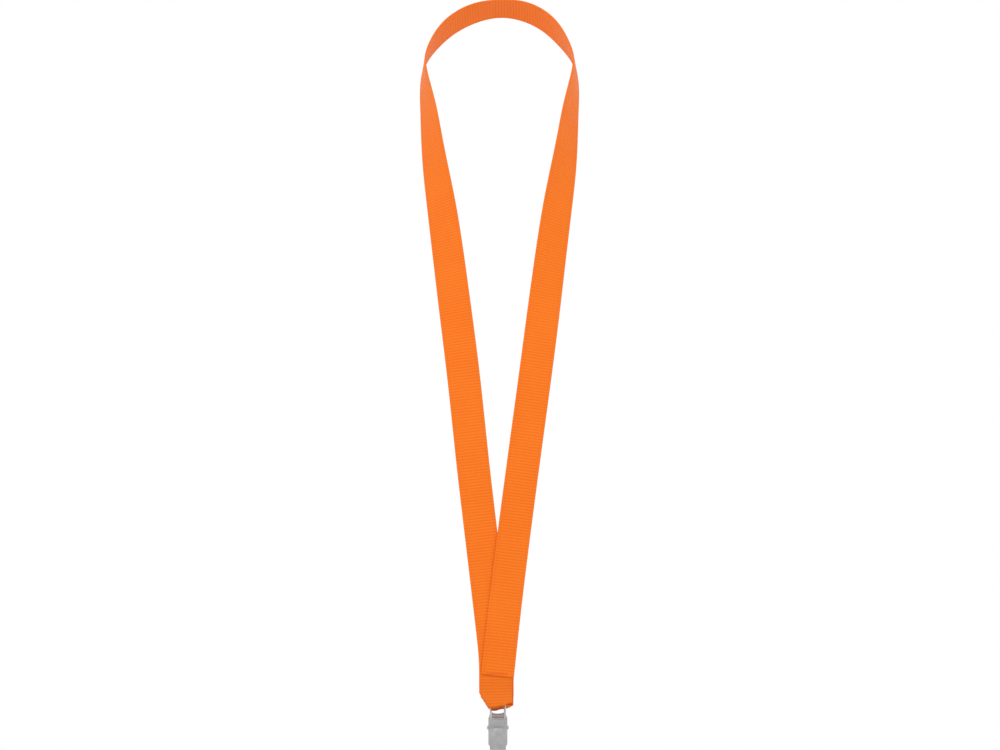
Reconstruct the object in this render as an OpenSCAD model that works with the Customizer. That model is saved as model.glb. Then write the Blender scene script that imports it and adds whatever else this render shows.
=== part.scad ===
// Neck lanyard: one length of woven ribbon round the neck, its two ends sewn together round the wire
// bail of a sprung bulldog clip.
// +Z is up and the front faces -Y. Left and right are as seen from the front, so +X is right. The
// origin is the middle of the ribbon's inner face at the nape of the neck.

/* [Ribbon] */
// Width of the ribbon
ribbon_w = 20; // [19:0.5:21]
// Thickness of the ribbon
ribbon_t = 1; // [0.8:0.1:1]
// Clearance between layers of ribbon
layer_gap = 0.2; // [0.2:0.1:0.4]
// Height of the doubled end below the cut end of the front leg
fold_h = 17; // [17:0.5:18]

/* [Sewing] */
// Number of stitches across the ribbon
stitches = 8; // [6:1:9]
// Distance from one needle hole to the next
stitch_pitch = 2; // [1.8:0.1:2]
// Thickness of the thread
thread_t = 0.4; // [0.3:0.1:0.5]

/* [Wire bail] */
// Radius of the bail's wire
wire_r = 0.65; // [0.5:0.05:0.65]
// Half of the straight length of the top bar
bar_half = 3.2; // [3:0.1:3.3]
// Radius of the two top corners, to the wire's middle
corner_r = 1.2; // [1.2:0.1:1.4]
// Drop from the top bar to the pivot pin
bail_drop = 14.5; // [14:0.5:16]

/* [Clip] */
// Width of the two clip plates
plate_w = 11.6; // [11.6:0.1:12]
// Thickness of the sheet metal
plate_t = 0.7; // [0.6:0.05:0.8]
// Height of the front lever above the pivot
front_lever_h = 5.3; // [5:0.1:6]
// Height of the rear lever above the pivot
rear_lever_h = 9.6; // [9:0.1:10]
// Depth of the jaws below the pivot
jaw_h = 14.6; // [14.6:0.1:16]
// Radius of the pivot pin
pin_r = 1; // [0.8:0.05:1]

/* [Hidden] */
$fn = 48;

// Running clearance of a pin or wire in its hole
run_gap = 0.05;
// Clearance between flat faces that slide past each other
slide_gap = 0.1;

// Where the two legs end and the doubled part begins
seam_z = -409;
// Middle of the doubled part's front layer, and of the clip
fold_y = -117;
hang_y = fold_y + (ribbon_t + layer_gap) / 2;
clip_x = -1;
bar_z = seam_z - fold_h;
pivot_z = bar_z - bail_drop;
// The front leg lies over the rear one
front_leg_y = fold_y - ribbon_t - layer_gap;

// The ribbon's route. Each point is [x, y, z, roll], where roll is the angle by which the ribbon's
// width has turned out of the front plane. The curve is a cubic B-spline that these points steer.
// The arch sits a little higher on the right.
NAPE = [0, 1, 1.5, 121];
RIGHT_TOP = [[16, -0.5, -0.4, 127], [30, -5.5, -7.8, 122]];
LEFT_TOP = [[-16, -0.5, -1.6, 127], [-30, -5.5, -9, 122]];
SIDE = [
    [40, -12.5, -19.5, 110],
    [47.2, -21, -32, 93],
    [46.6, -29, -45.5, 72],
    [43.8, -37, -61, 61],
    [42, -46, -79, 51],
    [39.5, -55.5, -98, 39],
    [35.5, -66, -121.5, 28],
    [31.5, -78, -150.5, 19],
    [27, -91, -186, 10],
    [21.5, -102.5, -228, 3]
];
RIGHT_END = [
    [14.5, -111.5, -279, 0],
    [8, -117, -328, 0],
    [2.5, front_leg_y, -373, 0],
    [-1.2, front_leg_y, seam_z, 0]
];
LEFT_END = [
    [-16.5, -111, -279, 0],
    [-10.5, -115.4, -328, 0],
    [-5.5, fold_y, -371, 0],
    [-2.4, fold_y, -397, 0],
    [-2.4, fold_y, seam_z, 0]
];
function reversed(list) = [for (i = [len(list) - 1:-1:0]) list[i]];
function mirrored(list) = [for (p = list) [-p[0], p[1], p[2], p[3]]];
ROUTE = concat(reversed(concat(RIGHT_TOP, SIDE, RIGHT_END)), [NAPE], LEFT_TOP, mirrored(SIDE), LEFT_END);
nape_at = len(RIGHT_TOP) + len(SIDE) + len(RIGHT_END);
arch_reach = 6;
rings_per_point = 4;

// Cubic B-spline through a list of points. A point past either end mirrors its neighbour.
function steer(c, i) =
    i < 0 ? 2 * c[0] - c[1] :
    i >= len(c) ? 2 * c[len(c) - 1] - c[len(c) - 2] : c[i];
function spline(c, i, f) = (
    pow(1 - f, 3) * steer(c, i - 1)
    + (3 * pow(f, 3) - 6 * pow(f, 2) + 4) * steer(c, i)
    + (1 + 3 * f + 3 * pow(f, 2) - 3 * pow(f, 3)) * steer(c, i + 1)
    + pow(f, 3) * steer(c, i + 2)) / 6;
function slope(c, i, f) = (
    -pow(1 - f, 2) * steer(c, i - 1)
    + (3 * pow(f, 2) - 4 * f) * steer(c, i)
    + (1 + 2 * f - 3 * pow(f, 2)) * steer(c, i + 1)
    + pow(f, 2) * steer(c, i + 2)) / 2;
function xyz(p) = [p[0], p[1], p[2]];
function unit(v) = v / norm(v);

// The four corners of the ribbon at a station along the route
function across(along, roll) =
    let (flat = unit(cross(along, [0, 1, 0])))
    cos(roll) * flat + sin(roll) * cross(along, flat);
function corners(at) =
    let (
        i = min(floor(at), len(ROUTE) - 2),
        here = spline(ROUTE, i, at - i),
        along = unit(xyz(slope(ROUTE, i, at - i))),
        wide = across(along, here[3]),
        half_w = wide * ribbon_w / 2,
        half_t = cross(along, wide) * ribbon_t / 2
    )
    [for (s = [[-1, -1], [1, -1], [1, 1], [-1, 1]]) xyz(here) + s[0] * half_w + s[1] * half_t];

// One stretch of the ribbon, from one station of the route to another
module ribbon(from, to) {
    rings = (to - from) * rings_per_point;
    points = [for (k = [0:rings]) each corners(from + k / rings_per_point)];
    sides = [for (k = [0:rings - 1], c = [0:3])
        let (a = 4 * k + c, b = 4 * k + (c + 1) % 4) each [[a, b, b + 4], [a, b + 4, a + 4]]];
    last = 4 * rings;
    ends = [[0, 3, 2], [0, 2, 1], [last, last + 1, last + 2], [last, last + 2, last + 3]];
    polyhedron(points, concat(sides, ends));
}

module neck_arch() {
    color("darkorange") ribbon(nape_at - arch_reach, nape_at + arch_reach);
}

module left_leg() {
    color("orange") ribbon(nape_at + arch_reach, len(ROUTE) - 1);
}

module right_leg() {
    color("orange") ribbon(0, nape_at - arch_reach);
}

// A plate drawn in the front plane, X across and Z up, between two depths
module upright(y_front, y_back) {
    translate([0, y_back, 0]) rotate([90, 0, 0]) linear_extrude(y_back - y_front) children();
}

// A round bar along X
module bar_x(r, x_from, x_to) {
    translate([x_from, 0, 0]) rotate([0, 90, 0]) cylinder(r = r, h = x_to - x_from);
}

// The doubled end of the ribbon, bunched round the bail's top bar. It narrows towards the bar, more
// on the left than on the right.
fold_r = 3.3;
fold_left = -2.4 - ribbon_w / 2;
fold_right = fold_left + ribbon_w + 1;
tail_top = seam_z + 5;
clear_of_bail = bar_z + wire_r + 0.15;
module fold_outline(top) {
    polygon([
        [fold_left, top],
        [fold_left, bar_z + 8.5],
        [fold_left + 2, bar_z + 5.5],
        [fold_left + 5, clear_of_bail],
        [clip_x - bar_half, clear_of_bail],
        [clip_x - bar_half, bar_z],
        [clip_x + bar_half, bar_z],
        [clip_x + bar_half, clear_of_bail],
        [fold_right, clear_of_bail],
        [fold_right, top]
    ]);
}
module strap_fold() {
    color("orange") difference() {
        union() {
            upright(fold_y - ribbon_t / 2, fold_y + ribbon_t / 2) fold_outline(seam_z);
            translate([0, ribbon_t + layer_gap, 0])
                upright(fold_y - ribbon_t / 2, fold_y + ribbon_t / 2) fold_outline(tail_top);
            translate([clip_x, hang_y, bar_z]) bar_x(fold_r, -bar_half, bar_half);
        }
        translate([clip_x, hang_y, bar_z]) bar_x(wire_r + run_gap, -2 * bar_half, 2 * bar_half);
    }
}

// One row of lock stitches through all three layers, above the front leg's cut end
stitch_z = seam_z + 2.5;
seam_front = front_leg_y - ribbon_t / 2 - thread_t;
seam_back = fold_y + layer_gap + 1.5 * ribbon_t + thread_t;
module seam_stitches() {
    row_w = (stitches - 1) * stitch_pitch;
    middle_x = -2;
    color("chocolate") translate([middle_x - row_w / 2, 0, stitch_z - thread_t / 2]) {
        for (y = [seam_front, seam_back - thread_t]) {
            translate([0, y, 0]) cube([row_w + thread_t, thread_t, thread_t]);
        }
        for (i = [0:stitches - 1]) {
            translate([i * stitch_pitch, seam_front, 0])
                cube([thread_t, seam_back - seam_front, thread_t]);
        }
    }
}

// The bail hangs in the ribbon's fold. Its legs lean in to an eye at each end, round the pivot pin.
eye_w = 1.4;
eye_r = 1.7;
eye_x = 3.4;
module bail_side() {
    lean = 4.5;
    overlap = 0.1;
    leg_l = (bail_drop - corner_r) / cos(lean) - eye_r + 0.4;
    translate([bar_half, 0, -corner_r]) {
        rotate([90, lean, 0]) rotate_extrude(angle = 90 + lean)
            translate([corner_r, 0]) circle(r = wire_r + 0.01);
        rotate([0, 180 + lean, 0]) translate([-corner_r, 0, -overlap])
            cylinder(r = wire_r, h = leg_l + overlap);
    }
    translate([0, 0, -bail_drop]) bar_x(eye_r, eye_x - eye_w / 2, eye_x + eye_w / 2);
}
module wire_bail() {
    color("silver") translate([clip_x, hang_y, bar_z]) difference() {
        union() {
            bar_x(wire_r, -bar_half - 0.1, bar_half + 0.1);
            bail_side();
            mirror([1, 0, 0]) bail_side();
        }
        translate([0, 0, -bail_drop]) bar_x(pin_r + run_gap, -plate_w, plate_w);
    }
}

// The clip's own frame has its origin on the pivot pin's axis, with -Y to the front
module at_pivot() {
    translate([clip_x, hang_y, pivot_z]) children();
}

// Bent sheet: a strip of even thickness along a line of [y, z] points, as a polygon
function turn_left(v) = [-v[1], v[0]];
function miter(line, i) =
    let (
        last = len(line) - 1,
        before = unit(line[max(i, 1)] - line[max(i, 1) - 1]),
        after = unit(line[min(i, last - 1) + 1] - line[min(i, last - 1)]),
        n = turn_left(unit(before + after))
    )
    n / (n * turn_left(after));
function strip(line, t) = concat(
    [for (i = [0:len(line) - 1]) line[i] + miter(line, i) * t / 2],
    [for (i = [len(line) - 1:-1:0]) line[i] - miter(line, i) * t / 2]
);

// Side profile, Y across and Z up, pushed out along X between two places
module profile(x_from, x_to) {
    translate([x_from, 0, 0]) rotate([90, 0, 90]) linear_extrude(x_to - x_from) children();
}

// Lines down the middle of each plate's sheet, from the lever's top to the tip of the jaw
lip_y = plate_t / 2 + slide_gap / 2;
function jaw_line(side) = [
    [side * 3.2, -0.5],
    [side * 3.1, -5.4],
    [side * 2.1, -10.6],
    [side * lip_y, 1.6 - jaw_h],
    [side * lip_y, -jaw_h]
];
front_top_y = -7.5;
rear_top_y = 4.9;
FRONT_LINE = concat([[front_top_y, front_lever_h]], jaw_line(-1));
REAR_LINE = concat([[rear_top_y, rear_lever_h]], jaw_line(1));

// Front outline of a plate. It narrows to the lever's top, from corner_drop below it, and at the lip.
module plate_outline(lever_h, corner_in, corner_drop) {
    half = plate_w / 2;
    lip_half = half - 0.9;
    polygon([
        [-half + corner_in, lever_h + 1],
        [-half, lever_h - corner_drop],
        [-half, -10.4],
        [-lip_half, -11.6],
        [-lip_half, -jaw_h - 1],
        [lip_half, -jaw_h - 1],
        [lip_half, -11.6],
        [half, -10.4],
        [half, lever_h - corner_drop],
        [half - corner_in, lever_h + 1]
    ]);
}

// Ears that carry the pin, from the plate round to the far side of the pin. The top corner, at the
// depth top_y, ends inside the plate's sheet.
ear_r = 2.4;
module ear_profile(side, top_y) {
    circle(r = ear_r);
    polygon([[0, ear_r], [top_y, 2], [side * 3.2, -0.5], [side * 3.1, -4.8], [0, -ear_r]]);
}
module ears(side, top_y, inner_x) {
    for (x = [inner_x, -inner_x - plate_t]) {
        profile(x, x + plate_t) ear_profile(side, top_y);
    }
}

// Shallow round boss pressed out of the front plate under the thumb
boss_r = 12;
boss_rise = 0.35;
module thumb_boss() {
    intersection() {
        translate([0, boss_r - 3.2 - plate_t / 2 - boss_rise, -2.2]) sphere(r = boss_r, $fn = 96);
        upright(-3.2 - plate_t / 2 - 1, -3.2) translate([0, -2.2]) circle(r = 3.2);
    }
}

front_ear_x = plate_w / 2 - plate_t;
rear_ear_x = front_ear_x - slide_gap - plate_t;
module front_jaw() {
    color("silver") at_pivot() difference() {
        union() {
            intersection() {
                profile(-plate_w / 2, plate_w / 2) polygon(strip(FRONT_LINE, plate_t));
                upright(-12, 4) plate_outline(front_lever_h, 0.8, 0.6);
            }
            ears(-1, -4.6, front_ear_x);
            thumb_boss();
        }
        bar_x(pin_r + run_gap, -plate_w, plate_w);
    }
}

// The rear lever stands taller, has a dished top edge, and grip ribs on its inner face
rib_pitch = 1.8;
rib_r = 0.45;
top_dish_r = 10.6;
module grip_ribs() {
    lever = REAR_LINE[0] - REAR_LINE[1];
    down = -unit(lever);
    inward = [-unit(lever)[1], unit(lever)[0]];
    for (i = [1:3]) {
        at = REAR_LINE[0] + down * (i * rib_pitch - 0.3) + inward * (plate_t / 2 - 0.15);
        translate([0, at[0], at[1]]) bar_x(rib_r, -4.2, 4.2);
    }
}
module rear_jaw() {
    color("darkgray") at_pivot() difference() {
        union() {
            intersection() {
                profile(-plate_w / 2, plate_w / 2) polygon(strip(REAR_LINE, plate_t));
                upright(-4, 12) plate_outline(rear_lever_h, 1.75, 4.2);
            }
            ears(1, 3.6, rear_ear_x);
            grip_ribs();
        }
        bar_x(pin_r + run_gap, -plate_w, plate_w);
        translate([0, 14, rear_lever_h - 1 + top_dish_r]) rotate([90, 0, 0])
            cylinder(r = top_dish_r, h = 12, $fn = 96);
    }
}

// Rivet with a blunt cone at each end
head_r = 1.4;
head_h = 0.7;
head_from = plate_w / 2 + slide_gap;
module pivot_pin() {
    color("gainsboro") at_pivot() rotate([0, 90, 0]) rotate_extrude() polygon([
        [0, -head_from - head_h],
        [0.6, -head_from - head_h],
        [head_r, -head_from - 0.3],
        [head_r, -head_from],
        [pin_r, -head_from],
        [pin_r, head_from],
        [head_r, head_from],
        [head_r, head_from + 0.3],
        [0.6, head_from + head_h],
        [0, head_from + head_h]
    ]);
}

// Coiled part of the spring, with one leg out to each lever.
coil_outer_r = 2.1;
coil_inner_r = 1.4;
coil_half = 2.3;
spring_wire_r = 0.35;
module spring_leg(side, tilt) {
    reach = 3.4;
    translate([side * (coil_half - spring_wire_r), side * 1.6, 0.4])
        rotate([-side * tilt, 0, 0]) cylinder(r = spring_wire_r, h = reach);
}
module torsion_spring() {
    color("dimgray") at_pivot() difference() {
        union() {
            bar_x(coil_outer_r, -coil_half, coil_half);
            spring_leg(-1, 52);
            spring_leg(1, 20);
        }
        bar_x(coil_inner_r, -plate_w, plate_w);
    }
}

neck_arch();
left_leg();
right_leg();
strap_fold();
seam_stitches();
wire_bail();
rear_jaw();
front_jaw();
pivot_pin();
torsion_spring();
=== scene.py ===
# A neck lanyard: one length of ribbed ribbon, sewn round the wire bail of a sprung clip.
# Lengths are in millimetres until a mesh is made. +Z is up and -Y is the front.
import math

import bpy
import numpy as np
from mathutils import Matrix, Vector


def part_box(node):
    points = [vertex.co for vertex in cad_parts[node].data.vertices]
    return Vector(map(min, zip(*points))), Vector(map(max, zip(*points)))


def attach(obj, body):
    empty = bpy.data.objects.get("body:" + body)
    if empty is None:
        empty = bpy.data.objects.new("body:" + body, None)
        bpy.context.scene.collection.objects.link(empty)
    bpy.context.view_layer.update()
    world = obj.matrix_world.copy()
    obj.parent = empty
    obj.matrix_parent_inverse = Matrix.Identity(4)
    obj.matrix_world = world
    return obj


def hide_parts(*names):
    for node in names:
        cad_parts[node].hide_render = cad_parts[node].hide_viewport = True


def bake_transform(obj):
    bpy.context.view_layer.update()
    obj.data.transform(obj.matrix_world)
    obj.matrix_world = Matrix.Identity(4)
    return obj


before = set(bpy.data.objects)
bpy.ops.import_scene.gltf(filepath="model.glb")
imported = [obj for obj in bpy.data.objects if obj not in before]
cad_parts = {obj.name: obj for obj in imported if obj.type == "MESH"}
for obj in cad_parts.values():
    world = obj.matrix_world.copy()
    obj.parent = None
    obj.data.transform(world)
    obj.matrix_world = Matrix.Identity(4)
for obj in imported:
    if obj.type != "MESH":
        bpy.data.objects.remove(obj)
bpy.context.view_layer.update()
scene = bpy.context.scene
MM = 0.001

# ---------------------------------------------------------------- camera
VIEW_WIDTH = 0.6135
CAMERA_FAR = 15.0
AIM = Vector((0.0003, -0.060, -0.2250))

camera_data = bpy.data.cameras.new("camera")
camera_data.sensor_width = 36
camera_data.lens = camera_data.sensor_width * CAMERA_FAR / VIEW_WIDTH
camera_data.dof.use_dof = False
camera = bpy.data.objects.new("camera", camera_data)
camera.location = AIM - Vector((0, CAMERA_FAR, 0))
camera.rotation_euler = (math.radians(90), 0, 0)
scene.collection.objects.link(camera)
scene.camera = camera


# ---------------------------------------------------------------- places taken from the frame
def middle(node):
    """The middle of a node's box, in millimetres."""
    low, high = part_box(node)
    return (low + high) / 2 / MM


RIBBON_T = 1.0
RIBBON_W = 20.0
WIRE_R = 0.65
BAR_HALF = 3.2
CORNER_R = 1.2
BAIL_DROP = 14.5
CLIP_X = middle("pivot_pin").x
HANG_Y = middle("pivot_pin").y
PIVOT_Z = middle("pivot_pin").z
BAR_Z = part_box("wire_bail")[1].z / MM - WIRE_R
SEAM_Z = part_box("right_leg")[0].z / MM
TAIL_Z = SEAM_Z + 5

# The ribbon's route, as in the CAD: [x, y, z, roll] points that steer a cubic B-spline
NAPE = [0, 1, 1.5, 121]
RIGHT_TOP = [[16, -0.5, -0.4, 127], [30, -5.5, -7.8, 122]]
LEFT_TOP = [[-16, -0.5, -1.6, 127], [-30, -5.5, -9, 122]]
SIDE = [
    [40, -12.5, -19.5, 110], [47.2, -21, -32, 93], [46.6, -29, -45.5, 72], [43.8, -37, -61, 61],
    [42, -46, -79, 51], [39.5, -55.5, -98, 39], [35.5, -66, -121.5, 28], [31.5, -78, -150.5, 19],
    [27, -91, -186, 10], [21.5, -102.5, -228, 3],
]
RIGHT_END = [[14.5, -111.5, -279, 0], [8, -117, -328, 0], [2.5, -118.2, -373, 0], [-1.2, -118.2, -409, 0]]
LEFT_END = [
    [-16.5, -111, -279, 0], [-10.5, -115.4, -328, 0], [-5.5, -117, -371, 0],
    [-2.4, -117, -397, 0], [-2.4, -117, -409, 0],
]
MIRRORED = [[-x, y, z, roll] for x, y, z, roll in SIDE]
ROUTE = np.array((RIGHT_TOP + SIDE + RIGHT_END)[::-1] + [NAPE] + LEFT_TOP + MIRRORED + LEFT_END, float)


# ---------------------------------------------------------------- mesh tools
def smoothstep(x):
    """An even ease from 0 to 1, flat outside."""
    x = np.clip(x, 0, 1)
    return x * x * (3 - 2 * x)


def unit(v):
    """Vectors of length 1 in the same directions."""
    return v / np.linalg.norm(v, axis=-1, keepdims=True)


def add_mesh(name, points, faces, material, body):
    """A smooth mesh from points in millimetres, riding on a body."""
    mesh = bpy.data.meshes.new(name)
    mesh.from_pydata((np.asarray(points, float) * MM).tolist(), [], faces)
    mesh.validate()
    mesh.shade_smooth()
    mesh.materials.append(material)
    obj = bpy.data.objects.new(name, mesh)
    scene.collection.objects.link(obj)
    if body:
        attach(obj, body)
    return obj


def ring_faces(rings, sides, start=0):
    """Quads between rings of points, with a cap on each end."""
    faces = []
    last = rings - 1
    for i in range(last):
        a, b = start + i * sides, start + (i + 1) * sides
        faces += [(a + k, a + (k + 1) % sides, b + (k + 1) % sides, b + k) for k in range(sides)]
    faces.append(tuple(start + k for k in reversed(range(sides))))
    faces.append(tuple(start + last * sides + k for k in range(sides)))
    return faces


def frames(path):
    """Tangent and two normals along a path, turned as little as possible."""
    along = unit(np.gradient(path, axis=0))
    first = np.cross(along[0], [0.31, 0.87, 0.38])
    normals = [first / np.linalg.norm(first)]
    for t in along[1:]:
        n = normals[-1] - t * (normals[-1] @ t)
        normals.append(n / np.linalg.norm(n))
    normals = np.array(normals)
    return along, normals, np.cross(along, normals)


def tube(path, radius, sides=12):
    """Points of a round tube along a path. radius is one number or one for each point."""
    path = np.asarray(path, float)
    along, u, v = frames(path)
    radius = np.broadcast_to(radius, len(path))[:, None, None]
    turn = np.arange(sides) * 2 * np.pi / sides
    ring = np.cos(turn)[None, :, None] * u[:, None] + np.sin(turn)[None, :, None] * v[:, None]
    return (path[:, None] + ring * radius).reshape(-1, 3)


def rounded_ends(path, radius, steps=4):
    """A tube's path and radii with a domed end at each end."""
    path = np.asarray(path, float)
    turn = np.linspace(0.12, 1, steps) * np.pi / 2
    start, end = unit(path[0] - path[1]), unit(path[-1] - path[-2])
    head = [path[0] + start * radius * math.cos(a) for a in turn]
    tail = [path[-1] + end * radius * math.cos(a) for a in turn[::-1]]
    radii = [radius * math.sin(a) for a in turn]
    middle_r = [radius] * (len(path) - 2)
    return np.array(head + list(path[1:-1]) + tail), np.array(radii + middle_r + radii[::-1])


def resample(path, step):
    """The same line with its points a step apart."""
    path = np.asarray(path, float)
    s = np.concatenate([[0], np.cumsum(np.linalg.norm(np.diff(path, axis=0), axis=1))])
    at = np.linspace(0, s[-1], max(2, int(round(s[-1] / step)) + 1))
    return np.stack([np.interp(at, s, path[:, k]) for k in range(path.shape[1])], axis=1)


# ---------------------------------------------------------------- node tools
class Nodes:
    """A material's node tree, with short ways to add and link nodes."""

    def __init__(self, name):
        """A new material with its shader."""
        self.material = bpy.data.materials.new(name)
        self.material.use_nodes = True
        self.tree = self.material.node_tree
        self.shader = self.tree.nodes["Principled BSDF"]

    def add(self, kind, **settings):
        """A new node of a kind, with its settings."""
        node = self.tree.nodes.new(kind)
        for key, value in settings.items():
            setattr(node, key, value)
        return node

    def put(self, value, socket):
        """A number or another node's output on a socket."""
        if isinstance(value, bpy.types.NodeSocket):
            self.tree.links.new(value, socket)
        else:
            socket.default_value = value

    def math(self, operation, a, b=0.0):
        node = self.add("ShaderNodeMath", operation=operation)
        self.put(a, node.inputs[0])
        self.put(b, node.inputs[1])
        return node.outputs[0]

    def noise(self, vector, scale, detail=3.0, roughness=0.55):
        node = self.add("ShaderNodeTexNoise")
        self.put(vector, node.inputs["Vector"])
        node.inputs["Scale"].default_value = scale
        node.inputs["Detail"].default_value = detail
        node.inputs["Roughness"].default_value = roughness
        return node.outputs["Fac"]

    def ramp(self, value, low, high, to_low, to_high):
        node = self.add("ShaderNodeMapRange")
        node.clamp = True
        for key, number in zip(("From Min", "From Max", "To Min", "To Max"), (low, high, to_low, to_high)):
            node.inputs[key].default_value = number
        self.put(value, node.inputs["Value"])
        return node.outputs["Result"]

    def mix(self, share, a, b):
        node = self.add("ShaderNodeMix", data_type="RGBA")
        self.put(share, node.inputs["Factor"])
        self.put(a, node.inputs[6])
        self.put(b, node.inputs[7])
        return node.outputs[2]

    def bump(self, height, distance, strength=1.0, before=None):
        node = self.add("ShaderNodeBump")
        node.inputs["Distance"].default_value = distance
        node.inputs["Strength"].default_value = strength
        self.put(height, node.inputs["Height"])
        if before:
            self.put(before, node.inputs["Normal"])
        return node.outputs["Normal"]

    def own(self):
        """Places in the object's own space."""
        return self.add("ShaderNodeTexCoord").outputs["Object"]

    def set(self, **inputs):
        """The shader's inputs, and the finished material."""
        for key, value in inputs.items():
            self.put(value, self.shader.inputs[key.replace("_", " ")])
        return self.material


def colour(red, green, blue):
    """An sRGB colour from 0 to 255, as linear numbers for a node."""
    def linear(c):
        c /= 255
        return c / 12.92 if c <= 0.04045 else ((c + 0.055) / 1.055) ** 2.4
    return (linear(red), linear(green), linear(blue), 1)


# ---------------------------------------------------------------- materials
RIB = 1.84
YARN = 0.46
SELVEDGE_LINE = 8.45


def ribbon_material():
    """Warp-faced ribbed polyester: yarns run along the ribbon and ride over a cord at each rib."""
    n = Nodes("orange_ribbon")
    place = n.add("ShaderNodeAttribute", attribute_name="weave")
    split = n.add("ShaderNodeSeparateXYZ")
    n.put(place.outputs["Vector"], split.inputs[0])
    across, along, ends = split.outputs
    # Every other rib has its yarns shifted by half a yarn
    rib_number = n.math("FLOOR", n.math("DIVIDE", along, RIB))
    shift = n.math("MULTIPLY", n.math("PINGPONG", rib_number, 1.0), 0.5)
    yarn = n.math("ADD", n.math("DIVIDE", across, YARN), shift)
    yarn = n.math("SINE", n.math("MULTIPLY", yarn, 2 * math.pi))
    yarn = n.ramp(yarn, -0.9, 0.9, 0.0, 1.0)
    ridge = n.math("SINE", n.math("MULTIPLY", n.math("DIVIDE", along, RIB), math.pi))
    ridge = n.math("ABSOLUTE", ridge)
    ridge = n.math("POWER", ridge, 0.55)
    # A flat selvedge with one shallow line inside it
    edge = n.math("ABSOLUTE", across)
    line = n.math("ABSOLUTE", n.math("SUBTRACT", edge, SELVEDGE_LINE))
    line = n.ramp(line, 0.0, 0.35, 1.0, 0.0)
    fibre_place = n.add("ShaderNodeVectorMath", operation="MULTIPLY")
    n.put(place.outputs["Vector"], fibre_place.inputs[0])
    fibre_place.inputs[1].default_value = (9.0, 1.2, 1.0)
    fibres = n.noise(fibre_place.outputs[0], 1.0, 4.0, 0.7)
    blotches = n.noise(n.own(), 38.0, 2.0)
    streaks_place = n.add("ShaderNodeVectorMath", operation="MULTIPLY")
    n.put(place.outputs["Vector"], streaks_place.inputs[0])
    streaks_place.inputs[1].default_value = (1.1, 0.018, 0.0)
    streaks = n.noise(streaks_place.outputs[0], 1.0, 3.0, 0.6)

    top = colour(*RIBBON_TOP)
    valley = colour(*RIBBON_VALLEY)
    pale = colour(*RIBBON_PALE)
    # Painted shade: the valleys between ribs and the gaps between yarns take the darker valley colour, and
    # the rib tops the lighter top colour
    cloth = n.mix(ridge, valley, top)
    cloth = n.mix(n.math("MULTIPLY", n.ramp(yarn, 0.0, 1.0, 1.0, 0.0), 0.18), cloth, valley)
    cloth = n.mix(n.ramp(blotches, 0.35, 0.7, 0.0, 0.22), cloth, pale)
    cloth = n.mix(n.ramp(streaks, 0.42, 0.75, 0.0, 0.16), cloth, valley)
    cloth = n.mix(n.ramp(fibres, 0.45, 0.8, 0.0, 0.12), cloth, pale)
    # Painted shade in the selvedge's groove line
    cloth = n.mix(n.math("MULTIPLY", line, 0.35), cloth, valley)
    sealed = n.ramp(ends, 0.2, 0.8, 0.5, 0.0)
    cloth = n.mix(sealed, cloth, colour(*RIBBON_SEALED))
    # Painted shade: the ribbon is darkened round the bar's underside and over the folded part, where shade
    # falls
    fold_shade = n.add("ShaderNodeAttribute", attribute_name="fold_shade")
    cloth = n.mix(n.math("MULTIPLY", fold_shade.outputs["Fac"], 0.7), cloth, colour(*RIBBON_FOLD_SHADE))

    normal = n.bump(yarn, 0.00006, 0.55)
    normal = n.bump(fibres, 0.00004, 0.5, normal)
    rough = n.ramp(fibres, 0.3, 0.8, 0.5, 0.72)
    return n.set(
        Base_Color=cloth, Roughness=rough, Normal=normal,
        Sheen_Weight=0.08, Sheen_Roughness=0.45, Specular_IOR_Level=0.2,
    )


def thread_material():
    """Glossy two-ply sewing thread."""
    n = Nodes("orange_thread")
    fibres = n.noise(n.own(), 9000.0, 3.0)
    tint = n.mix(n.ramp(fibres, 0.3, 0.7, 0.0, 1.0), colour(232, 104, 8), colour(245, 122, 22))
    return n.set(
        Base_Color=tint, Roughness=n.ramp(fibres, 0.3, 0.7, 0.34, 0.5),
        Normal=n.bump(fibres, 0.00003, 0.5), Sheen_Weight=0.1,
    )


def metal_material(name, dark, light, smooth, rough, grain=2600.0):
    """Barrel-plated nickel: a faint grain, small dents, hazy patches and dull scratches."""
    n = Nodes(name)
    place = n.own()
    grains = n.noise(place, grain, 2.0)
    haze = n.noise(place, 260.0, 4.0, 0.6)
    dents = n.noise(place, 900.0, 1.0)
    stretched = n.add("ShaderNodeVectorMath", operation="MULTIPLY")
    n.put(place, stretched.inputs[0])
    stretched.inputs[1].default_value = (260.0, 2400.0, 2400.0)
    brushed = n.noise(stretched.outputs[0], 1.0, 2.0)
    tint = n.mix(n.ramp(haze, 0.35, 0.7, 0.0, 1.0), colour(*dark), colour(*light))
    roughness = n.math("ADD", n.ramp(haze, 0.3, 0.75, smooth, rough), n.ramp(grains, 0.3, 0.7, -0.03, 0.03))
    normal = n.bump(dents, 0.00006, 0.25)
    normal = n.bump(brushed, 0.00001, 0.35, normal)
    normal = n.bump(grains, 0.00001, 0.3, normal)
    return n.set(Base_Color=tint, Metallic=1.0, Roughness=roughness, Normal=normal)


# Rib top and valley colours: the valley colour paints shade between ribs and yarns, and also tints the
# random streaks
RIBBON_TOP = (245, 120, 14)
RIBBON_VALLEY = (226, 98, 5)
RIBBON_PALE = (248, 130, 30)
RIBBON_SEALED = (212, 90, 8)
# Colour of the painted shade round the bar
RIBBON_FOLD_SHADE = (128, 50, 6)
ribbon_finish = ribbon_material()
thread_finish = thread_material()
plate_finish = metal_material("nickel_sheet", (168, 168, 170), (182, 182, 183), 0.36, 0.48)
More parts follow.
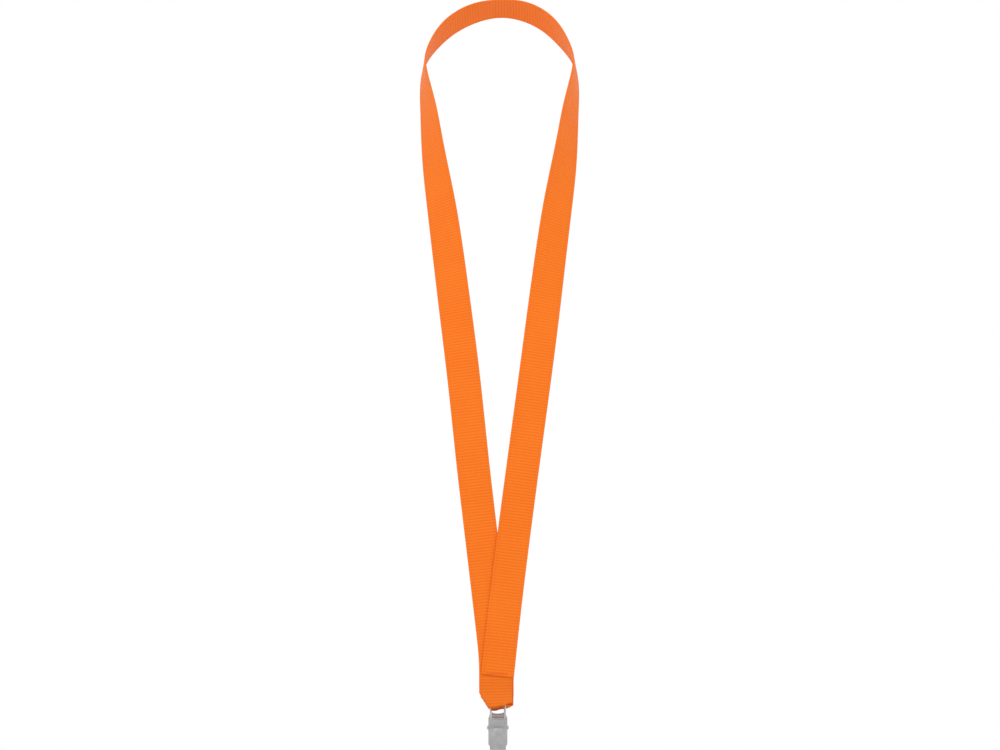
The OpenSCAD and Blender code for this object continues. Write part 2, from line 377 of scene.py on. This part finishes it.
# Painted light: the rear plate is the same nickel painted lighter, to lift the shade and dark reflections it
# gets behind the front plate
rear_lightened_finish = metal_material("nickel_inside_lightened", (188, 188, 190), (202, 202, 203), 0.56, 0.68)
wire_finish = metal_material("nickel_wire", (168, 168, 172), (196, 196, 198), 0.2, 0.34)
spring_finish = metal_material("spring_steel", (98, 98, 102), (126, 126, 128), 0.28, 0.42)


# ---------------------------------------------------------------- ribbon
def spline(at):
    """Places and slopes of the route's B-spline at the stations in at."""
    ends = [2 * ROUTE[0] - ROUTE[1]], [2 * ROUTE[-1] - ROUTE[-2]]
    points = np.concatenate([ends[0], ROUTE, ends[1]])
    i = np.minimum(np.floor(at).astype(int), len(ROUTE) - 2)
    f = (at - i)[:, None]
    a, b, c, d = (points[i + k] for k in range(4))
    place = (
        (1 - f) ** 3 * a + (3 * f**3 - 6 * f**2 + 4) * b
        + (1 + 3 * f + 3 * f**2 - 3 * f**3) * c + f**3 * d
    ) / 6
    slope = (
        -((1 - f) ** 2) * a + (3 * f**2 - 4 * f) * b
        + (1 + 2 * f - 3 * f**2) * c + f**2 * d
    ) / 2
    return place, slope


def worn_path():
    """The ribbon's middle line and width direction, from the front cut end round the neck to the seam."""
    at = np.linspace(0, len(ROUTE) - 1, 4001)
    place, slope = spline(at)
    along = unit(slope[:, :3])
    flat = unit(np.cross(along, [0, 1, 0]))
    roll = np.radians(place[:, 3])[:, None]
    wide = np.cos(roll) * flat + np.sin(roll) * np.cross(along, flat)
    return place[:, :3], wide


# Round the bar the ribbon is folded in three across its width: the left edge first, the right over it
FLAP_T = 0.75
LAYER_GAP = 0.05
TURN_R = WIRE_R + LAYER_GAP + 2 * (FLAP_T + LAYER_GAP) + RIBBON_T / 2
LEFT_CURL = (RIBBON_T / 2 + LAYER_GAP + FLAP_T / 2) / 2
RIGHT_CURL = LEFT_CURL + (FLAP_T + LAYER_GAP) / 2
SPREAD_H = 9.5
FRONT_X = -2.4
TURN_X = -1.6
BACK_X = -1.4


def fold_path():
    """From the seam down to the bar, round it and up to the tail's end behind the left leg."""
    z = np.linspace(SEAM_Z, BAR_Z, 200)
    spread = 0.6 + (TURN_R - 0.6) * (1 - smoothstep((z - BAR_Z) / SPREAD_H))
    down = np.stack([np.zeros_like(z), HANG_Y - spread, z], axis=1)
    angle = np.linspace(0, math.pi, 120)[1:-1]
    turn = np.stack([0 * angle, HANG_Y - TURN_R * np.cos(angle), BAR_Z - TURN_R * np.sin(angle)], axis=1)
    z = np.linspace(BAR_Z, TAIL_Z, 240)
    spread = 0.6 + (TURN_R - 0.6) * (1 - smoothstep((z - BAR_Z) / SPREAD_H))
    up = np.stack([np.zeros_like(z), HANG_Y + spread, z], axis=1)
    path = np.concatenate([down, turn, up])
    s = np.concatenate([[0], np.cumsum(np.linalg.norm(np.diff(path, axis=0), axis=1))])
    lowest = int(np.argmin(path[:, 2]))
    u = s - s[lowest]
    path[:, 0] = np.interp(u, [-14, -4, 0, 4, 12], [FRONT_X, FRONT_X + 0.3, TURN_X, TURN_X, BACK_X])
    return path, u


def fold_lines(u):
    """Where the ribbon's left and right edges turn in, as x, at each distance u past the bar's underside."""
    # Each line is narrowest under the bar and runs out to the ribbon's full width
    left = np.interp(
        u,
        [-12.4, -6.6, -1.9, -0.9, 0.9, 1.6, 11.2],
        [-12.4, -9.5, -5.7, -3.72, -3.72, -5.6, -11.5],
    )
    right = np.interp(
        u,
        [-5.2, -4.4, -2.3, -1.5, -0.9, 0.9, 1.5, 2.3, 4.4, 5.2],
        [7.9, 7.0, 4.5, 2.1, 1.25, 1.25, 2.1, 4.5, 7.2, 8.7],
    )
    return left, right


def blur(values, reach):
    """A running mean that rounds off a bent line."""
    padded = np.concatenate([np.full(reach, values[0]), values, np.full(reach, values[-1])])
    return np.convolve(padded, np.ones(2 * reach + 1) / (2 * reach + 1), mode="valid")


RINGS_PER_RIB = 4
EDGE_AT = 9.68
RIB_RISE = 0.14
# Strength and place of the painted shade round the bar
FOLD_SHADE_DARK = 0.14
FOLD_SHADE_AT = -0.6
FOLD_SHADE_REACH = 1.5
LEFT_DROOP = 1.1


def columns():
    """Places across half the ribbon, closer together near the edge, mirrored to both sides."""
    flap = np.linspace(2.4, 8.0, 14)
    half = np.concatenate([[0, 1.2], flap, [8.22, 8.45, 8.68, 8.95, 9.2, 9.45, EDGE_AT]])
    return np.concatenate([-half[:0:-1], half])


def build_ribbon():
    """The whole ribbon as one skin, from the front cut end to the tail, its edges folded in at the bar."""
    worn, worn_wide = worn_path()
    fold, fold_u = fold_path()
    path = np.concatenate([worn, fold[1:]])
    wide = np.concatenate([worn_wide, np.tile([1.0, 0, 0], (len(fold) - 1, 1))])
    s = np.concatenate([[0], np.cumsum(np.linalg.norm(np.diff(path, axis=0), axis=1))])
    fold_from = s[len(worn) - 1]
    lowest = fold_from - fold_u[0]

    rings = int(round(s[-1] / (RIB / RINGS_PER_RIB))) + 1
    at = np.linspace(0, s[-1], rings)
    at = np.sort(np.concatenate([at, [0.12, 0.28, s[-1] - 0.28, s[-1] - 0.12]]))
    middle_line = np.stack([np.interp(at, s, path[:, k]) for k in range(3)], axis=1)
    wide = np.stack([np.interp(at, s, wide[:, k]) for k in range(3)], axis=1)
    along = unit(np.gradient(middle_line, axis=0))
    wide = unit(wide - along * np.sum(wide * along, axis=1, keepdims=True))
    out = np.cross(along, wide)

    u = at - lowest
    left, right = fold_lines(u)
    left, right = blur(left, 2), blur(right, 2)
    in_fold = at > fold_from - 0.5
    left_w = np.where(in_fold, np.maximum(left - middle_line[:, 0], -RIBBON_W / 2), -RIBBON_W / 2)
    right_w = np.where(in_fold, np.minimum(right - middle_line[:, 0], RIBBON_W / 2), RIBBON_W / 2)

    q = columns()[None, :]
    left_w, right_w = left_w[:, None], right_w[:, None]
    rest = np.broadcast_to(q, (len(at), q.shape[1]))
    c_w, c_n = rest.copy(), np.zeros_like(rest)
    m_w, m_n = np.zeros_like(rest), np.ones_like(rest)
    bend = np.zeros_like(rest)
    for side, line, curl, keep in ((-1, left_w, LEFT_CURL, 0.78), (1, right_w, RIGHT_CURL, 0.95)):
        past = side * (q - line)
        angle = np.clip(past / curl, 0, np.pi)
        beyond = np.maximum(past - np.pi * curl, 0) * keep
        turned = past > 0
        c_w = np.where(turned, line + side * (curl * np.sin(angle) - beyond), c_w)
        c_n = np.where(turned, -curl * (1 - np.cos(angle)), c_n)
        m_w = np.where(turned, side * np.sin(angle), m_w)
        m_n = np.where(turned, np.cos(angle), m_n)
        bend = np.where(turned, angle / np.pi, bend)

    # Ribs across the ribbon, a flat selvedge, and one shallow line inside it
    ribs = (0.5 - 0.5 * np.cos(2 * np.pi * at / RIB))[:, None] ** 0.8
    inside = smoothstep((EDGE_AT - 0.1 - np.abs(q)) / 0.8)
    groove = 0.05 * np.exp(-(((np.abs(q) - SELVEDGE_LINE) / 0.22) ** 2))
    body_t = RIBBON_T - 2 * RIB_RISE * (1 - ribs) * inside - 2 * groove
    body_t = body_t * (1 - (1 - FLAP_T / RIBBON_T) * bend)
    from_end = np.minimum(at, s[-1] - at)[:, None]
    body_t = body_t * (0.62 + 0.38 * smoothstep(from_end / 0.5))
    # A slack, slightly uneven hand: long shallow waves, strongest where nothing pulls the ribbon flat
    slack = 0.12 * np.sin(at / 31.0)[:, None] * np.cos(q / 5.2) + 0.08 * np.sin(at[:, None] / 13.7 + q / 7.0)
    calm = smoothstep((at[:, None] - 40) / 80) * smoothstep((lowest - 60 - at[:, None]) / 80)
    c_n = c_n + slack * calm
    # Round the bar the bunch hangs lower on the left
    left_part = smoothstep((0.8 - middle_line[:, :1] - c_w) / 3.2)
    c_n = c_n + LEFT_DROOP * left_part * np.exp(-((u[:, None] / 3.0) ** 2))

    centre = middle_line[:, None] + c_w[..., None] * wide[:, None] + c_n[..., None] * out[:, None]
    face = m_w[..., None] * wide[:, None] + m_n[..., None] * out[:, None]
    half = (body_t / 2)[..., None]
    front, back = centre + face * half, centre - face * half
    # Rounded selvedges: two points on each edge between the faces
    edge = []
    for k, inner in ((-1, -2), (0, 1)):
        outward = unit(centre[:, k] - centre[:, inner]) * (body_t[:, k] / 2 * 0.75)[:, None]
        edge.append([centre[:, k] + outward + face[:, k] * half[:, k] * f for f in (0.5, -0.5)])
    edge_right = np.stack(edge[0], axis=1)
    edge_left = np.stack(edge[1][::-1], axis=1)
    ring = np.concatenate([front, edge_right, back[:, ::-1], edge_left], axis=1)
    sides = ring.shape[1]
    faces = ring_faces(len(at), sides)
    ribbon = add_mesh("ribbon", ring.reshape(-1, 3), faces, ribbon_finish, "strap")

    width_at = np.concatenate([q[0], [10, 10], q[0][::-1], [-10, -10]])
    weave = np.zeros((len(at), sides, 3), np.float32)
    weave[..., 0] = width_at[None]
    weave[..., 1] = at[:, None]
    weave[..., 2] = from_end
    attribute = ribbon.data.attributes.new("weave", "FLOAT_VECTOR", "POINT")
    attribute.data.foreach_set("vector", weave.ravel())
    # Painted shade: darkest just under the bar, fainter over the folded part down from the seam
    shaded_fold = FOLD_SHADE_DARK * smoothstep((at - fold_from) / 4) * smoothstep((SPREAD_H - u) / 4)
    painted_fold_shade = np.maximum(np.exp(-(((u - FOLD_SHADE_AT) / FOLD_SHADE_REACH) ** 2)), shaded_fold)
    fold_shade = ribbon.data.attributes.new("fold_shade", "FLOAT", "POINT")
    fold_shade.data.foreach_set("value", np.repeat(painted_fold_shade, sides).astype(np.float32))
    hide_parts("neck_arch", "left_leg", "right_leg", "strap_fold")
    return ribbon, float(s[-1])


ribbon, ribbon_length = build_ribbon()


# ---------------------------------------------------------------- sewing
STITCHES = 8
STITCH_PITCH = 2.0
ROW_MIDDLE_X = -2
FIRST_HOLE_X = ROW_MIDDLE_X - (STITCHES - 1) * STITCH_PITCH / 2
PLY_R = 0.12
STITCH_Z = SEAM_Z + 2.5
SEAM_FRONT = HANG_Y - 1.8 - RIBBON_T / 2
SEAM_BACK = HANG_Y + 0.6 + RIBBON_T / 2


def stitch_line(side, surface_y):
    """One thread's line along one face: up out of a hole, over, and down into the next."""
    points = []
    for i in range(STITCHES - 1):
        x = FIRST_HOLE_X + i * STITCH_PITCH
        for f in np.linspace(0, 1, 17):
            rise = 0.24 * min(1, 5 * math.sin(math.pi * f)) - 0.5 * (1 - min(1, 8 * f * (1 - f)))
            points.append((x + f * STITCH_PITCH, surface_y + side * rise, STITCH_Z))
    return resample(points, 0.09)


def plies(line, twist_h=0.9):
    """Two strands twisted round each other along a line."""
    along, u, v = frames(line)
    s = np.concatenate([[0], np.cumsum(np.linalg.norm(np.diff(line, axis=0), axis=1))])
    strands = []
    for start in (0, math.pi):
        turn = (s / twist_h * 2 * math.pi + start)[:, None]
        strands.append(line + (np.cos(turn) * u + np.sin(turn) * v) * PLY_R * 0.9)
    return strands


def build_stitches():
    """A front and a back thread of two plies each, and the thread inside each needle hole."""
    points, faces = [], []
    sides = 8
    lines = [stitch_line(-1, SEAM_FRONT), stitch_line(1, SEAM_BACK)]
    for line in lines:
        for strand in plies(line):
            faces += ring_faces(len(strand), sides, len(points))
            points += tube(strand, PLY_R, sides).tolist()
    # The threads lock together in each needle hole
    for i in range(STITCHES):
        x = FIRST_HOLE_X + i * STITCH_PITCH
        hole = [(x, SEAM_FRONT + 0.1, STITCH_Z), (x, HANG_Y - 0.6, STITCH_Z), (x, SEAM_BACK - 0.1, STITCH_Z)]
        hole = resample(hole, 0.5)
        faces += ring_faces(len(hole), sides, len(points))
        points += tube(hole, PLY_R * 1.3, sides).tolist()
    stitches = add_mesh("seam_thread", points, faces, thread_finish, "strap")
    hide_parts("seam_stitches")
    return stitches


stitches = build_stitches()


# ---------------------------------------------------------------- wire bail
LEAN = math.radians(1.5)
EYE_X = 3.4
EYE_IN_R = 1.05
EYE_WALL = 0.65
EYE_FROM = 2.6
KNEE_H = 7.0


def build_bail():
    """One bent wire: an eye round the pin at each end, flattened where it curls round."""
    corner = np.linspace(0, math.pi / 2 + LEAN, 14)
    side = [(BAR_HALF + CORNER_R * math.sin(a), 0, -CORNER_R + CORNER_R * math.cos(a)) for a in corner]
    foot_z = -BAIL_DROP + EYE_IN_R + EYE_WALL / 2
    loop = np.linspace(math.radians(75), math.radians(-250), 44)
    loop_r = EYE_IN_R + EYE_WALL / 2 + 0.02
    eye = [(EYE_X, -loop_r * math.cos(a), -BAIL_DROP + loop_r * math.sin(a)) for a in loop]
    leg_from = np.array(side[-1])
    knee = leg_from + np.array([-math.sin(LEAN), 0, -math.cos(LEAN)]) * KNEE_H
    foot = np.array([EYE_X, -0.2, foot_z + 0.7])
    f = np.linspace(0, 1, 12)[1:, None]
    ease = np.concatenate([smoothstep(f), f, f], axis=1)
    bar = [(0, 0, 0), (BAR_HALF - 0.3, 0, 0)]
    leg = leg_from + (knee - leg_from) * f
    jog = knee + (foot - knee) * ease
    half = resample(np.concatenate([bar, side, leg, jog, eye]), 0.22)
    # Smooth the joins, then mirror
    for _ in range(3):
        half[1:-1] = (half[:-2] + 2 * half[1:-1] + half[2:]) / 4
    path = np.concatenate([half[::-1] * [-1, 1, 1], half[1:]])
    path += [CLIP_X, HANG_Y, BAR_Z]
    # Round wire, pressed flat against the pin in the eyes: u lies along the pin there
    along = unit(np.gradient(path, axis=0))
    u = np.cross(along, [0, 1.0, 0])
    in_eye = path[:, 2] < BAR_Z - BAIL_DROP + EYE_FROM
    u[in_eye] = [1.0, 0, 0]
    for i in range(1, len(u)):
        if u[i] @ u[i - 1] <= 0:
            u[i] = -u[i]
    u = unit(u - along * np.sum(u * along, axis=1, keepdims=True))
    v = np.cross(along, u)
    flatness = smoothstep((BAR_Z - BAIL_DROP + EYE_FROM - path[:, 2:]) / 0.9)
    r_u = (WIRE_R + 0.03) * flatness + WIRE_R * (1 - flatness)
    r_v = EYE_WALL / 2 * flatness + WIRE_R * (1 - flatness)
    sides = 20
    turn = np.arange(sides) * 2 * np.pi / sides
    cos, sin = np.cos(turn)[None, :, None], np.sin(turn)[None, :, None]
    ring = cos * (u * r_u)[:, None] + sin * (v * r_v)[:, None]
    points = (path[:, None] + ring).reshape(-1, 3)
    bail = add_mesh("bail_wire", points, ring_faces(len(path), sides), wire_finish, "bail")
    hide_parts("wire_bail")


build_bail()


# ---------------------------------------------------------------- torsion spring
SPRING_R = 0.35
COIL_R = 1.75
COIL_HALF = 1.95
FULL_TURNS = 5
SPRING_LEG = 3.4


def build_spring():
    """A close coil on the pin, its left leg up the front lever and its right leg up the rear one."""
    front_lean, rear_lean = math.radians(52), math.radians(20)
    front_way = np.array([0, -math.sin(front_lean), math.cos(front_lean)]) * SPRING_LEG
    rear_way = np.array([0, math.sin(rear_lean), math.cos(rear_lean)]) * SPRING_LEG
    start, end = math.radians(166), math.radians(14)
    turn = np.linspace(start, end - 2 * math.pi * FULL_TURNS, 240)
    x = np.linspace(-COIL_HALF, COIL_HALF, len(turn))
    coil = np.stack([x, COIL_R * np.cos(turn), COIL_R * np.sin(turn)], axis=1)
    out_along = np.linspace(0.06, 1, 14)[:, None]
    path = np.concatenate([coil[0] + front_way * out_along[::-1], coil, coil[-1] + rear_way * out_along])
    for _ in range(4):
        path[1:-1] = (path[:-2] + 2 * path[1:-1] + path[2:]) / 4
    path = resample(path, 0.16) + [CLIP_X, HANG_Y, PIVOT_Z]
    path, radii = rounded_ends(path, SPRING_R)
    faces = ring_faces(len(path), 12)
    spring = add_mesh("spring_wire", tube(path, radii, 12), faces, spring_finish, None)
    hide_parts("torsion_spring")
    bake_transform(spring)


build_spring()


# ---------------------------------------------------------------- clip plates and pin
def finish_cad(node, material, bevel):
    """A CAD node keeps its shape, with its sheared edges softened."""
    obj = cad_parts[node]
    obj.data.materials.clear()
    obj.data.materials.append(material)
    soften = obj.modifiers.new("soft_edges", "BEVEL")
    soften.width = bevel * MM
    soften.segments = 2
    soften.limit_method = "ANGLE"
    soften.angle_limit = math.radians(28)
    soften.harden_normals = False


finish_cad("pivot_pin", wire_finish, 0.12)
PIVOT = Vector((CLIP_X, HANG_Y, PIVOT_Z))
SHEET_HALF = 5.8
# The sheet's middle line from the lever's foot to the jaw's tip, as [how far out, height], as in the CAD
JAW_LINE = [(3.2, -0.5), (3.1, -5.4), (2.1, -10.6), (0.4, -13.0), (0.4, -14.6)]
EDGE_CURL = 1.6
CURL_DEPTH = 0.65
CROWN_RISE = 0.3
LIP_GROOVE = 0.16
BOSS_R = 3.0
BOSS_RISE = 0.18
VOXEL = 0.1


def sheet_line(side, top):
    """A plate's middle line about the pivot as [y, z], with its bends rounded, and its outward normals."""
    line = resample([top] + [(side * out, z) for out, z in JAW_LINE], 0.12)
    for _ in range(12):
        line[1:-1] = (line[:-2] + 2 * line[1:-1] + line[2:]) / 4
    along = unit(np.gradient(line, axis=0))
    outward = np.stack([along[:, 1], -along[:, 0]], axis=1)
    return line, outward * np.sign(outward[:, :1] * side + 1e-9)


def reworked(mesh, voxel, rounds):
    """The mesh as one even skin where a voxel size is given, then relaxed."""
    rough = bpy.data.objects.new("rough", mesh)
    scene.collection.objects.link(rough)
    if voxel:
        skin = rough.modifiers.new("skin", "REMESH")
        skin.mode, skin.voxel_size = "VOXEL", voxel
    relax = rough.modifiers.new("relax", "SMOOTH")
    relax.factor, relax.iterations = 0.5, rounds
    made = bpy.data.meshes.new_from_object(rough.evaluated_get(bpy.context.evaluated_depsgraph_get()))
    bpy.data.objects.remove(rough)
    return made


def stamp(node, name, body, side, top, corner_half, finish):
    """A plate as pressed from sheet: curled long edges, a crowned lever, and a thumb boss on the front."""
    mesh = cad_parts[node].data.copy()
    mesh.transform(Matrix.Translation(-PIVOT) @ Matrix.Scale(1 / MM, 4))
    mesh = reworked(mesh, VOXEL, 8)
    co = np.empty(len(mesh.vertices) * 3)
    mesh.vertices.foreach_get("co", co)
    co = co.reshape(-1, 3)
    line, outward = sheet_line(side, top)
    nearest = np.argmin(((co[:, None, 1:] - line[None]) ** 2).sum(-1), axis=1)
    off = ((co[:, 1:] - line[nearest]) * outward[nearest]).sum(-1)
    near = 1 - smoothstep((np.abs(off) - 0.6) / 1.8)
    x, z = np.abs(co[:, 0]), co[:, 2]
    lip_half = SHEET_HALF - 0.9
    half = np.interp(z, [-11.6, -10.4, 5.4, top[1]], [lip_half, SHEET_HALF, SHEET_HALF, corner_half])
    edge = np.clip((x - half + EDGE_CURL) / EDGE_CURL, 0, 1)
    press = -CURL_DEPTH * edge**2.4 * smoothstep((z + 12.6) / 3.6)
    press += CROWN_RISE * smoothstep((z + 0.2) / 1.5) * (1 - np.minimum(x / half, 1) ** 2)
    if side < 0:
        from_boss = np.hypot(co[:, 0], z + 2.2)
        press += BOSS_RISE * smoothstep((BOSS_R - from_boss) / BOSS_R)
    press -= LIP_GROOVE * np.exp(-(((z + 11.0) / 0.5) ** 2))
    co[:, 1:] += outward[nearest] * (press * near)[:, None]
    mesh.vertices.foreach_set("co", co.ravel())
    mesh = reworked(mesh, 0, 5)
    mesh.transform(Matrix.Scale(MM, 4) @ Matrix.Translation(PIVOT))
    mesh.materials.clear()
    mesh.materials.append(finish)
    mesh.shade_smooth()
    plate = bpy.data.objects.new(name, mesh)
    scene.collection.objects.link(plate)
    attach(plate, body)
    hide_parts(node)


stamp("front_jaw", "front_plate", "front_lever", -1, (-7.5, 5.3), 5.6, plate_finish)
stamp("rear_jaw", "rear_plate", "clip", 1, (4.9, 9.6), 4.4, rear_lightened_finish)


# ---------------------------------------------------------------- floor, world and lights
def build_floor():
    """A round pale floor, a little below the hanging clip."""
    floor_r, floor_z, middle_y, count = 2.3, -0.52, -0.06, 96
    turn = np.arange(count) * 2 * np.pi / count
    x, y = floor_r * np.cos(turn), floor_r * np.sin(turn) + middle_y
    rim = np.stack([x, y, np.full(count, floor_z)], axis=1)
    faces = [(0, 1 + k, 1 + (k + 1) % count) for k in range(count)]
    mesh = bpy.data.meshes.new("floor")
    mesh.from_pydata([(0, middle_y, floor_z)] + rim.tolist(), [], faces)
    n = Nodes("pale_floor")
    cloudy = n.noise(n.own(), 6.0, 2.0)
    n.set(Base_Color=n.mix(cloudy, (0.80, 0.80, 0.80, 1), (0.84, 0.84, 0.84, 1)), Roughness=0.7)
    mesh.materials.append(n.material)
    floor = bpy.data.objects.new("floor", mesh)
    scene.collection.objects.link(floor)


def add_light(name, place, size, watts):
    """A round area light that faces the middle of the lanyard."""
    data = bpy.data.lights.new(name, "AREA")
    data.shape, data.size, data.energy = "DISK", size, watts
    light = bpy.data.objects.new(name, data)
    light.location = Vector(place)
    aim = Vector((0, -0.08, -0.22))
    light.rotation_euler = (aim - light.location).to_track_quat("-Z", "Y").to_euler()
    scene.collection.objects.link(light)


build_floor()
world = bpy.data.worlds.new("studio")
world.use_nodes = True
world.node_tree.nodes["Background"].inputs["Color"].default_value = (1, 1, 1, 1)
world.node_tree.nodes["Background"].inputs["Strength"].default_value = 1.0
scene.world = world
scene.view_settings.view_transform = "Standard"
add_light("key", (-1.3, -1.9, 0.9), 1.4, 9.0)
add_light("fill", (1.8, -1.5, 0.2), 1.6, 3.0)
add_light("rim", (0.6, 1.6, 1.3), 1.2, 4.0)
